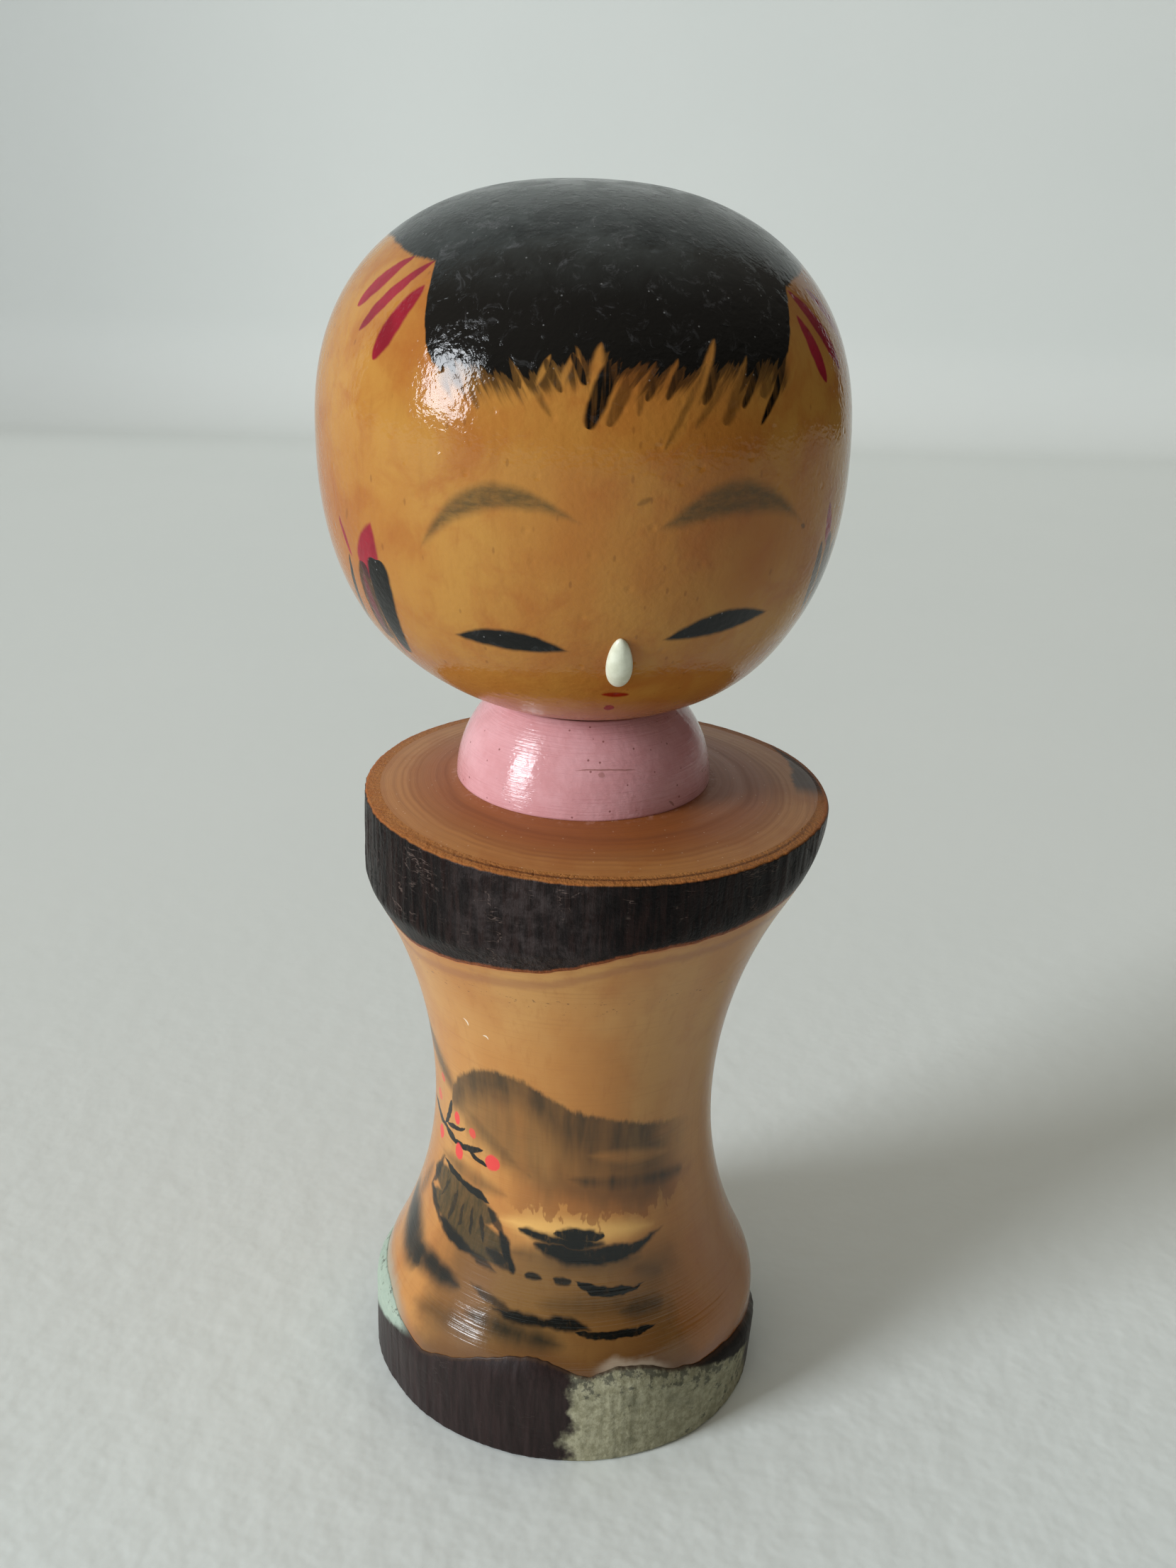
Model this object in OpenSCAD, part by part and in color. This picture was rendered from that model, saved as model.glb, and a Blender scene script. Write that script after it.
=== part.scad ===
// Wooden doll turned from a natural branch. The bark is left on at the shoulder and at the foot,
// a painted collar makes the neck, and the head turns on a peg hidden inside.
// Millimetres. +Z is up, the face looks along -Y, and the origin is where the turning axis
// meets the plane that the foot stands on.

/* [Branch] */
// Height of the body, from the foot to the seat of the neck collar
body_h = 68; // [64:1:72]
// Outer radius of the branch at the foot, bark included
branch_foot_r = 20.4; // [20:0.1:21]
// Outer radius of the branch at the shoulder, bark included
branch_shoulder_r = 22.4; // [22:0.1:23]
// Sideways drift of the branch between its foot and its shoulder
branch_drift = 1.3; // [0:0.1:1.6]
// Radius of the bare wood at the foot
wood_foot_r = 19.5; // [19:0.1:19.7]
// Radius of the bare wood at the shoulder
wood_shoulder_r = 20.8; // [20.5:0.1:21]

/* [Foot bark] */
// Height of the foot bark's upper edge, taken at the axis
foot_bark_z = 8.7; // [8:0.1:9.4]
// Slope of that edge up towards the front, in degrees
foot_bark_front_lean = 9.6; // [6:0.2:12]
// Slope of that edge down towards +X, in degrees
foot_bark_side_lean = 5.8; // [3:0.2:8]

/* [Turned waist] */
// Radius of the body at its narrowest
waist_r = 14.5; // [14:0.1:15]
// Height of the narrowest place
waist_z = 32.5; // [31:0.5:34]
// Radius of the scoop above the narrowest place
scoop_upper_r = 52; // [50:1:54]
// Radius of the scoop below the narrowest place
scoop_lower_r = 44; // [42:1:46]
// Fall of the shoulder from the collar's seat out to the rim
shoulder_fall = 1.6; // [1:0.1:2]
// Bevel round the foot
foot_bevel = 0.5; // [0.3:0.1:0.8]

/* [Neck] */
// Radius of the collar where it sits on the shoulder
collar_r = 12.3; // [12:0.1:12.6]
// Height that the collar's curve would reach on the axis
collar_crown = 11.3; // [11:0.1:11.6]
// Radius of the peg
peg_r = 3; // [2.5:0.25:3.5]
// Depth of the peg in the body
peg_depth_body = 14; // [10:1:18]
// Depth of the peg in the head
peg_depth_head = 13; // [10:1:16]
// Radial clearance between the peg and the head's bore
peg_clearance = 0.05; // [0.02:0.01:0.08]
// Gap between the head and the collar's dished top
head_gap = 0.2; // [0.15:0.05:0.3]

/* [Head] */
// Radius of the head at its widest
head_r = 23.9; // [23:0.1:24.5]
// Height of the widest place above the foot
head_z = 100.7; // [100:0.1:101.4]
// Height of the crown above the widest place
head_rise = 21.7; // [21:0.1:22.4]
// Depth of the chin side below the widest place
head_drop = 25.3; // [25:0.1:25.6]
// Squareness of the outline: 2 is an ellipse, and more is fuller
head_fullness = 2.35; // [2.2:0.05:2.5]

/* [Face] */
// Turn of the face from -Y towards +X, in degrees
face_turn = 6.8; // [0:0.1:12]
// Height of the middle of the nose
nose_z = 85.9; // [84:0.1:88]
// Length of the nose
nose_l = 5.8; // [5:0.1:7]
// Largest radius of the nose
nose_r = 1.1; // [0.9:0.05:1.4]
// Fullness of the nose's lower end compared with its upper end
nose_drop_shape = 0.25; // [0:0.05:0.4]

/* [Hidden] */
$fn = 96;

// Reach of the cutting shapes beyond the branch
margin = 4;
// Steps along a turned outline, and the angle between points on the head's outline
scoop_steps = 14;
outline_angle = 3;
// Bevel on the peg's ends and at the mouth of a bore
peg_bevel = 0.6;
// Air left past the peg's end in the head
bore_spare = 1;

waist_top_z = body_h - shoulder_fall;
drift_tilt = atan(branch_drift / body_h);
head_bottom_z = head_z - head_drop;
peg_bottom_z = body_h - peg_depth_body;
peg_top_z = head_bottom_z + peg_depth_head;

// Radius of the scooped waist at height z
function scoop_r(z) = z > waist_z ? scoop_upper_r : scoop_lower_r;
function waist_at(z) = waist_r + scoop_r(z) - sqrt(pow(scoop_r(z), 2) - pow(z - waist_z, 2));

// Radius of the head at height dz above its widest place, used to seat the nose on it
function head_depth(dz) = dz > 0 ? head_rise : head_drop;
function head_at(dz) =
    head_r * pow(1 - pow(abs(dz) / head_depth(dz), head_fullness), 1 / head_fullness);

// Points of the head's outline from the underside up to the crown, grown by gap
function curve(v) = pow(v, 2 / head_fullness);
function head_point(t, gap) = [
    (head_r + gap) * curve(cos(t)),
    head_z + (t > 0 ? head_rise + gap : -head_drop - gap) * curve(abs(sin(t)))
];

module head_outline(gap = 0) {
    polygon([for (t = [-90 : outline_angle : 90]) head_point(t, gap)]);
}

// Everything that the turning tool leaves of the body: the scooped waist, the sloping shoulder
// and the bevelled foot. Its radius passes the branch where the branch stays unturned.
module turned_envelope() {
    low_z = foot_bevel + 1;
    step = (waist_top_z - low_z) / scoop_steps;
    rim_r = waist_at(waist_top_z);
    rotate_extrude()
        polygon(concat(
            [[0, 0], [branch_foot_r - foot_bevel, 0], [branch_foot_r + 1, low_z]],
            [for (i = [0 : scoop_steps]) [waist_at(low_z + i * step), low_z + i * step]],
            [[collar_r, body_h], [0, body_h]]
        ));
}

// The branch as a leaning cone, longer than the body at both ends
module branch(foot_r, shoulder_r) {
    slope = (shoulder_r - foot_r) / body_h;
    rotate([0, drift_tilt, 0])
        translate([0, 0, -margin])
            cylinder(
                h = body_h + 2 * margin,
                r1 = foot_r - slope * margin,
                r2 = shoulder_r + slope * margin
            );
}

// The unturned skin of the branch between two heights
module bark(low_z, high_z) {
    intersection() {
        turned_envelope();
        difference() {
            branch(branch_foot_r, branch_shoulder_r);
            branch(wood_foot_r, wood_shoulder_r);
        }
        translate([0, 0, low_z])
            cylinder(h = high_z - low_z, r = branch_shoulder_r + margin);
    }
}

// Hourglass of bare wood with the peg's blind hole in its top
module body() {
    color("peru")
        difference() {
            intersection() {
                turned_envelope();
                branch(wood_foot_r, wood_shoulder_r);
            }
            translate([0, 0, peg_bottom_z])
                cylinder(h = peg_depth_body + margin, r = peg_r);
        }
}

module shoulder_bark() {
    color("dimgray")
        bark(waist_z, body_h + margin);
}

// The foot's bark ends at a slanting edge, highest at the front
module foot_bark() {
    color("darkslategray")
        difference() {
            bark(-margin, waist_z);
            translate([0, 0, foot_bark_z])
                rotate([-foot_bark_front_lean, foot_bark_side_lean, 0])
                    cylinder(h = waist_z, r = 2 * branch_foot_r);
        }
}

// Bell-shaped collar, bored for the peg and dished on top to follow the head
module neck_collar() {
    color("lightpink")
        difference() {
            rotate_extrude()
                difference() {
                    polygon(concat(
                        [[0, body_h]],
                        [for (t = [0 : outline_angle : 90])
                            [collar_r * cos(t), body_h + collar_crown * sin(t)]]
                    ));
                    head_outline(head_gap);
                }
            translate([0, 0, body_h - margin])
                cylinder(h = collar_crown + 2 * margin, r = peg_r);
        }
}

// Dowel glued in the body and the collar, with bevelled ends
module neck_peg() {
    color("burlywood")
        rotate_extrude()
            polygon([
                [0, peg_bottom_z],
                [peg_r - peg_bevel, peg_bottom_z],
                [peg_r, peg_bottom_z + peg_bevel],
                [peg_r, peg_top_z - peg_bevel],
                [peg_r - peg_bevel, peg_top_z],
                [0, peg_top_z]
            ]);
}

// Full round head with the blind bore that it turns on
module head() {
    bore_depth = peg_depth_head + bore_spare;
    color("tan")
        difference() {
            rotate_extrude()
                head_outline();
            translate([0, 0, head_bottom_z - margin])
                cylinder(h = bore_depth + margin, r = peg_r + peg_clearance);
        }
}

// Drop-shaped bead laid along the curve of the face
module nose() {
    half = nose_l / 2;
    upper = [head_at(nose_z + half - head_z), nose_z + half];
    lower = [head_at(nose_z - half - head_z), nose_z - half];
    lean = atan2(upper.x - lower.x, upper.y - lower.y);
    seat_r = head_at(nose_z - head_z);
    color("white")
        difference() {
            rotate([0, 0, face_turn])
                translate([0, -seat_r, nose_z])
                    rotate([lean, 0, 0])
                        rotate_extrude()
                            polygon([for (t = [0 : 2 * outline_angle : 180])
                                [nose_r * sin(t) * (1 - nose_drop_shape * cos(t)), half * cos(t)]]);
            rotate_extrude()
                head_outline();
        }
}

body();
shoulder_bark();
foot_bark();
neck_collar();
neck_peg();
head();
nose();
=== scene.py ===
"""Looks of a bark-edged wooden doll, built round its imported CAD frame. Lengths are in millimetres until
a mesh is made, heights are above the foot, and azimuths are degrees from the front (-Y) towards +X."""

import math

import bpy
import numpy as np
from mathutils import Matrix, Vector, noise


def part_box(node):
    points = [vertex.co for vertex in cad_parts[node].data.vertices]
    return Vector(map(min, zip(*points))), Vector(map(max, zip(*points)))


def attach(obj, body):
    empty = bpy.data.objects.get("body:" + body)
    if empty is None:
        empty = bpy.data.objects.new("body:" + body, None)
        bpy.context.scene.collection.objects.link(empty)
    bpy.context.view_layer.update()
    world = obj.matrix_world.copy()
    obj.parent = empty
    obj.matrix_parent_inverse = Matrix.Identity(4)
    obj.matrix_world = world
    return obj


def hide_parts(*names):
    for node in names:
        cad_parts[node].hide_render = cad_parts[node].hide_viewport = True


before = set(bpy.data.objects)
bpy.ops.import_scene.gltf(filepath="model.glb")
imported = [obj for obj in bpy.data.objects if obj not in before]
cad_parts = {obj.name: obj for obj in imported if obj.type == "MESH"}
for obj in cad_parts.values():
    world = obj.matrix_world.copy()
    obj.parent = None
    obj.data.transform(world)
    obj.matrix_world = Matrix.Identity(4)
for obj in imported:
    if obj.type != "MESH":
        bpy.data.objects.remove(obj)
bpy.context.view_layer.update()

MM = 0.001

# -------- dimensions, from the frame where possible


def corners(node):
    """Lowest and highest corner of a CAD node, in millimetres."""
    low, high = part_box(node)
    return np.array(low) / MM, np.array(high) / MM


head_low, head_high = corners("head")
collar_low, collar_high = corners("neck_collar")
peg_low, peg_high = corners("neck_peg")

BODY_H = corners("body")[1][2]
HEAD_R = (head_high[0] - head_low[0]) / 2
HEAD_WIDEST = 0.538
HEAD_Z = head_low[2] + HEAD_WIDEST * (head_high[2] - head_low[2])
HEAD_RISE = head_high[2] - HEAD_Z
HEAD_DROP = HEAD_Z - head_low[2]
HEAD_FULLNESS = 2.35
BORE_TOP = peg_high[2] + 1.0
COLLAR_R = (collar_high[0] - collar_low[0]) / 2
COLLAR_CROWN = 11.3
COLLAR_LIFT = 0.02
NOSE_DEPTH = 1.0
NOSE_SUNK = 0.25
HEAD_GAP = 0.2
PEG_R = (peg_high[0] - peg_low[0]) / 2
PEG_CLEARANCE = 0.05

WAIST_R = 14.5
WAIST_Z = 32.5
SCOOP_UPPER_R = 52.0
SCOOP_LOWER_R = 44.0
SHOULDER_TURNED_R = 23.9
SHOULDER_BLEND = 2.8
FOOT_TURNED_R = 20.15
FOOT_BLEND = 1.0
BRANCH_FOOT_R = 20.4
BRANCH_SHOULDER_R = 22.4
BRANCH_DRIFT = 1.3
SHOULDER_SLOPE = 0.157
BARK_THICKNESS = 1.5
BARK_STEP = 0.05
BARK_INSET = 0.3
RIM_ROUNDING = 0.12
SEAM = 0.02
FOOT_RELIEF = 0.5
PITH = (1.3, -0.6)

# The turned head stands a little to the left of its peg, and leans on from there
LEAN_START_Z = 76.5
LEAN_END_Z = 86.0
LEAN_SHIFT = 0.745
LEAN_SLOPE = 0.0113

# Points round each piece, and rings along its longest surface
BODY_COLUMNS, BODY_RINGS = 420, 150
SHOULDER_COLUMNS, SHOULDER_RINGS, CUT_RINGS = 900, 62, 10
FOOT_COLUMNS, FOOT_RINGS = 900, 70
HEAD_COLUMNS, HEAD_RINGS = 480, 176
COLLAR_COLUMNS, COLLAR_RINGS, DISH_RINGS = 360, 120, 14
UNDER_STEPS = 200
NOSE_COLUMNS, NOSE_RINGS = 64, 41

# Where the noise of each ragged bark edge is read, so that wood and bark share one edge
SHOULDER_SEED = 60.0
FOOT_SEED = 8.0

# Lower edge of the shoulder bark and upper edge of the foot bark: (azimuth, height)
SHOULDER_EDGE = [
    (-180, 58.6), (-140, 58.2), (-110, 57.6), (-90, 57.4), (-72, 56.3), (-53, 55.0), (-30, 55.8),
    (-11, 56.5), (-2, 57.4), (6, 58.5), (14, 59.3), (30, 59.8), (55, 60.4), (90, 60.6), (135, 59.6),
]
FOOT_EDGE = [
    (-180, 6.5), (-140, 8.4), (-108, 10.2), (-90, 10.8), (-76, 10.9), (-67, 10.3), (-61, 9.4), (-55, 8.7),
    (-48, 8.4), (-38, 9.7), (-23, 11.6), (-8, 12.4), (6, 10.9), (15, 11.6), (25, 10.8), (35, 9.4), (54, 8.6),
    (74, 7.4), (95, 5.6), (140, 5.2),
]
# How far below its upper edge the foot bark reaches its full thickness
FOOT_LEDGE = [(-180, 1.5), (-120, 2), (-88, 2.6), (-60, 2), (-30, 3), (10, 3), (50, 1.6), (110, 1.2)]
# What the branch adds to a plain round, at the foot and at the shoulder: (azimuth, millimetres)
FOOT_SWELL = [
    (-180, 0.1), (-120, 0.2), (-86, 0.6), (-60, 0.1), (-20, -0.3), (20, 0), (45, 0.2), (90, -0.1), (135, 0.1),
]
SHOULDER_SWELL = [
    (-180, 0), (-90, 0.1), (-30, -0.1), (20, 0), (60, 0.1), (82, 0.6), (100, 1), (118, 0.5), (145, -0.1),
]


# -------- curves and surfaces


def around(points, azimuth):
    """Smooth closed curve through given (azimuth, value) points."""
    xs, ys = np.array(points, float).T
    xs = np.concatenate([[xs[-1] - 360], xs, [xs[0] + 360, xs[1] + 360]])
    ys = np.concatenate([[ys[-1]], ys, [ys[0], ys[1]]])
    slope = np.gradient(ys, xs)
    a = (np.asarray(azimuth) - xs[1]) % 360 + xs[1]
    i = np.searchsorted(xs, a, side="right") - 1
    width = xs[i + 1] - xs[i]
    t = (a - xs[i]) / width
    start = (1 + 2 * t) * (1 - t) ** 2 * ys[i] + t * (1 - t) ** 2 * width * slope[i]
    end = t * t * (3 - 2 * t) * ys[i + 1] + t * t * (t - 1) * width * slope[i + 1]
    return start + end


def soft_min(a, b, blend):
    """The smaller of two values, rounded where they cross."""
    near = np.clip(blend - np.abs(a - b), 0, None) / blend
    return np.minimum(a, b) - near * near * blend / 4


def turned_radius(height):
    """Radius that the turning tool left at a height, from the foot to the shoulder."""
    upper = np.asarray(height) > WAIST_Z
    scoop = np.where(upper, SCOOP_UPPER_R, SCOOP_LOWER_R)
    rise = np.clip(height - WAIST_Z, -0.98 * scoop, 0.98 * scoop)
    bare = WAIST_R + scoop - np.sqrt(scoop**2 - rise**2)
    end = np.where(upper, SHOULDER_TURNED_R, FOOT_TURNED_R)
    return soft_min(bare, end, np.where(upper, SHOULDER_BLEND, FOOT_BLEND))


def branch_radius(azimuth, height):
    """Radius of the unturned branch, without the bark's own relief."""
    t = height / BODY_H
    swell = around(FOOT_SWELL, azimuth) * (1 - t) + around(SHOULDER_SWELL, azimuth) * t
    lean = BRANCH_DRIFT * t * np.sin(np.radians(azimuth))
    return BRANCH_FOOT_R + (BRANCH_SHOULDER_R - BRANCH_FOOT_R) * t + swell + lean


def shoulder_height(radius):
    """Height of the shoulder's sloping top at a radius."""
    return BODY_H - SHOULDER_SLOPE * np.clip(radius - COLLAR_R, 0, None)


def head_lean(height):
    """How far the turned head stands to the left of its peg: nothing at its underside, more above."""
    t = np.clip((height - LEAN_START_Z) / (LEAN_END_Z - LEAN_START_Z), 0, 1)
    return -LEAN_SHIFT * t * t * (3 - 2 * t) - LEAN_SLOPE * np.clip(height - LEAN_END_Z, 0, None)


def head_radius(height):
    """Radius of the head at a height."""
    reach = HEAD_RISE if height > HEAD_Z else HEAD_DROP
    return HEAD_R * max(1 - (abs(height - HEAD_Z) / reach) ** HEAD_FULLNESS, 0) ** (1 / HEAD_FULLNESS)


def head_outline(steps, grow=0.0):
    """(radius, height) points of the head from its underside to its crown."""
    t = np.linspace(-math.pi / 2, math.pi / 2, steps)
    power = 2 / HEAD_FULLNESS
    r = (HEAD_R + grow) * np.abs(np.cos(t)) ** power
    reach = np.where(t > 0, HEAD_RISE + grow, HEAD_DROP + grow)
    return r, HEAD_Z + np.sign(t) * reach * np.abs(np.sin(t)) ** power


def field(points, scale, stretch=1.0, seed=0.0):
    """Gradient noise of feature size scale at each point, stretched along Z."""
    p = points / (scale * np.array([1, 1, stretch])) + seed
    return np.array([noise.noise(v) for v in p.tolist()])


# -------- meshes


def polar(azimuth, radius, height):
    """Points from azimuths in degrees, radii and heights, in millimetres."""
    a, r, z = np.broadcast_arrays(np.radians(azimuth), radius, height)
    return np.stack([r * np.sin(a), -r * np.cos(a), z], -1)


def put(name, data):
    """A new object in the scene."""
    thing = bpy.data.objects.new(name, data)
    bpy.context.scene.collection.objects.link(thing)
    return thing


def lathe(name, rows, start_pole=None, end_pole=None, closed=False, notes=None):
    """A mesh from rings of points. rows is rings x columns x 3, in millimetres. A pole closes an end
    with a fan round one point, and closed joins the last ring to the first. notes holds one number
    per point and name, which the materials read."""
    rings, columns = rows.shape[:2]
    points = rows.reshape(-1, 3)
    index = np.arange(rings * columns).reshape(rings, columns)
    turned = np.roll(index, -1, axis=1)
    last = rings if closed else rings - 1
    after = np.roll(index, -1, axis=0)
    after_turned = np.roll(turned, -1, axis=0)
    quads = np.stack([index[:last], turned[:last], after_turned[:last], after[:last]], -1).reshape(-1, 4)
    faces = quads.tolist()
    for pole, ring, flip in ((start_pole, 0, True), (end_pole, rings - 1, False)):
        if pole is not None:
            centre = len(points)
            points = np.vstack([points, pole])
            fan = [[int(a), int(b), centre] for a, b in zip(index[ring], turned[ring])]
            faces += [f[::-1] for f in fan] if flip else fan
    mesh = bpy.data.meshes.new(name)
    mesh.from_pydata((points * MM).tolist(), [], faces)
    for label, values in (notes or {}).items():
        flat = np.broadcast_to(values, (rings, columns)).reshape(-1)
        flat = np.concatenate([flat, np.zeros(len(points) - len(flat))])
        mesh.attributes.new(label, "FLOAT", "POINT").data.foreach_set("value", flat.astype(np.float32))
    mesh.polygons.foreach_set("use_smooth", [True] * len(mesh.polygons))
    mesh.update()
    return put(name, mesh)


def columns_of(count):
    """Evenly spaced azimuths from the back, in degrees."""
    return np.arange(count) * 360.0 / count - 180.0


def between(low, high, steps):
    """steps values per column from low to high, both ends included, as rows."""
    t = np.linspace(0, 1, steps)[:, None]
    return low + (high - low) * t


def ragged(azimuth, seed):
    """Small unevenness of a bark edge, in millimetres."""
    ring = polar(azimuth, 20.0, seed)
    return 0.25 * field(ring, 2.5) + 0.12 * field(ring, 0.7)


def bark_relief(azimuth, height):
    """Upright ridges, broad lumps and a few shallow cracks of natural bark."""
    shape = np.broadcast(azimuth, height).shape
    p = polar(np.broadcast_to(azimuth, shape), 21.0, np.broadcast_to(height, shape)).reshape(-1, 3)
    ridges = field(p, 0.75, 9.0)
    fine = field(p, 0.35, 5.0, 7.3)
    lumps = field(p, 5.0, 2.0, 3.1)
    cracks = np.clip(1 - np.abs(field(p, 3.2, 0.5, 11.7)) / 0.03, 0, 1)
    return (0.11 * ridges + 0.05 * fine + 0.18 * lumps - 0.06 * cracks).reshape(shape)


def make_shoulder_bark():
    a = columns_of(SHOULDER_COLUMNS)
    low = around(SHOULDER_EDGE, a) + ragged(a, SHOULDER_SEED)
    rim_height = shoulder_height(branch_radius(a, BODY_H)) - RIM_ROUNDING
    z = between(low, rim_height, SHOULDER_RINGS)
    outer = soft_min(turned_radius(z) + BARK_STEP, branch_radius(a, z) + bark_relief(a[None], z), 0.35)
    rim = outer[-1]
    wood_top = branch_radius(a, BODY_H) - BARK_THICKNESS
    top_r = np.concatenate([between(rim - RIM_ROUNDING, wood_top + SEAM, CUT_RINGS - 1), wood_top[None]])
    wall_r = between(wood_top, turned_radius(low) - 0.4, 4)[1:]
    wall_z = between(shoulder_height(wood_top), low, 4)[1:]
    rows = np.concatenate([
        polar(a, outer, z),
        polar(a, top_r, shoulder_height(top_r)),
        polar(a, wall_r, wall_z),
    ])
    cut = np.zeros(rows.shape[:2])
    cut[SHOULDER_RINGS:SHOULDER_RINGS + CUT_RINGS] = 1
    gap = rows[..., 2] - low
    return lathe("shoulder_bark_skin", rows, closed=True, notes={"cut": cut, "gap": gap})


def make_foot_bark():
    a = columns_of(FOOT_COLUMNS)
    high = around(FOOT_EDGE, a) + ragged(a, FOOT_SEED)
    z = between(0.35 + 0 * a, high, FOOT_RINGS)
    full = branch_radius(a, z) + FOOT_RELIEF * bark_relief(a[None], z)
    rise = np.clip((high - z) / around(FOOT_LEDGE, a), 0, 1)
    edge = turned_radius(high) + BARK_STEP
    outer = edge + (full - edge) * rise * (2 - rise)
    outer = np.maximum(outer, edge - 0.1)
    wood = turned_radius(high) - 0.5
    rows = np.concatenate([
        polar(a, between(wood, outer[0] - BARK_INSET, 4), 0 * a),
        polar(a, outer, z),
        polar(a, wood, high - BARK_INSET)[None],
    ])
    return lathe("foot_bark_skin", rows, closed=True, notes={"gap": high - rows[..., 2]})


def make_body():
    a = columns_of(BODY_COLUMNS)
    foot = around(FOOT_EDGE, a) + ragged(a, FOOT_SEED)
    shoulder = around(SHOULDER_EDGE, a) + ragged(a, SHOULDER_SEED)
    base_r = turned_radius(foot) - 0.45
    wood_top = branch_radius(a, BODY_H) - BARK_THICKNESS
    waist_z = between(foot - 0.1, shoulder + 0.1, BODY_RINGS)
    top_r = np.concatenate([wood_top[None], between(wood_top - SEAM, COLLAR_R + 0 * a, 40)])
    wall_r = between(turned_radius(shoulder) - 0.1, wood_top, 4)[1:3]
    wall_z = between(shoulder + 0.4, BODY_H - 1.8 + 0 * a, 4)[1:3]
    rows = np.concatenate([
        polar(a, between(0.5 + 0 * a, base_r, 6), 0 * a),
        polar(a, turned_radius(foot - 0.5) - 0.02, foot - 0.5)[None],
        polar(a, turned_radius(waist_z), waist_z),
        polar(a, wall_r, wall_z),
        polar(a, top_r, shoulder_height(top_r)),
        polar(a, between(COLLAR_R + 0 * a, PEG_R + 0 * a, 4)[1:], BODY_H + 0 * a),
        polar(a, PEG_R + 0 * a, peg_low[2] + 0 * a)[None],
    ])
    notes = {"below_bark": shoulder - rows[..., 2], "above_bark": rows[..., 2] - foot}
    return lathe("body_wood", rows, start_pole=(0, 0, 0), end_pole=(0, 0, peg_low[2]), notes=notes)


def make_head():
    a = columns_of(HEAD_COLUMNS)
    r, z = head_outline(HEAD_RINGS)
    bore_r = PEG_R + PEG_CLEARANCE
    keep = (r > bore_r + 0.15) & (z < HEAD_Z) | (z >= HEAD_Z)
    keep &= r > 0.4
    bore_z = head_low[2] + 0.05
    skin = np.stack([polar(a, ri, zi) for ri, zi in zip(r[keep], z[keep])])
    skin[..., 0] += head_lean(skin[..., 2])
    rows = np.concatenate([
        polar(a, bore_r, BORE_TOP + 0 * a)[None],
        polar(a, bore_r, bore_z + 0 * a)[None],
        skin,
    ])
    crown = (float(head_lean(head_high[2])), 0, head_high[2])
    return lathe("head_wood", rows, start_pole=(0, 0, BORE_TOP), end_pole=crown)


def make_collar():
    a = columns_of(COLLAR_COLUMNS)
    # the dish follows the head's lower half
    under_r, under_z = np.array(head_outline(2 * UNDER_STEPS, HEAD_GAP))[:, :UNDER_STEPS]
    t = np.linspace(0, math.pi / 2, COLLAR_RINGS)
    bell_r, bell_z = COLLAR_R * np.cos(t), BODY_H + COLLAR_LIFT + COLLAR_CROWN * np.sin(t)
    inside = bell_z < np.interp(bell_r, under_r, under_z)
    bell_r, bell_z = bell_r[inside], bell_z[inside]
    dish_r = np.linspace(bell_r[-1] - 0.1, PEG_R, DISH_RINGS)
    dish_z = np.interp(dish_r, under_r, under_z)
    radii = np.concatenate([[PEG_R], bell_r, dish_r])
    heights = np.concatenate([[BODY_H + COLLAR_LIFT], bell_z, dish_z])
    rows = np.stack([polar(a, ri, zi) for ri, zi in zip(radii, heights)])
    return lathe("neck_collar_painted", rows, closed=True)


def make_nose():
    """Egg of paint on the face, fuller at its lower end."""
    low, high = corners("nose")
    middle, half = (low + high) / 2, (high - low) / 2
    turn = np.radians(columns_of(NOSE_COLUMNS))
    rings = []
    for t in np.linspace(-0.49, 0.49, NOSE_RINGS) * math.pi:
        z = middle[2] + half[2] * math.sin(t)
        r = math.cos(t) * (1 - 0.14 * math.sin(t))
        x = middle[0] + 0.98 * half[0] * r * np.sin(turn)
        y = -head_radius(z) + NOSE_SUNK - NOSE_DEPTH * r * np.cos(turn)
        rings.append(np.stack([x, y, z + 0 * x], -1))
    ends = [rings[0].mean(axis=0), rings[-1].mean(axis=0)]
    return lathe("nose_painted", np.stack(rings), start_pole=ends[0], end_pole=ends[1])


# -------- nodes


def linear(colour):
    """Linear colour, with alpha, from the 0-255 values that a picture shows."""
    return [c / 3294.6 if c <= 10 else ((c / 255 + 0.055) / 1.055) ** 2.4 for c in colour] + [1.0]


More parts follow.
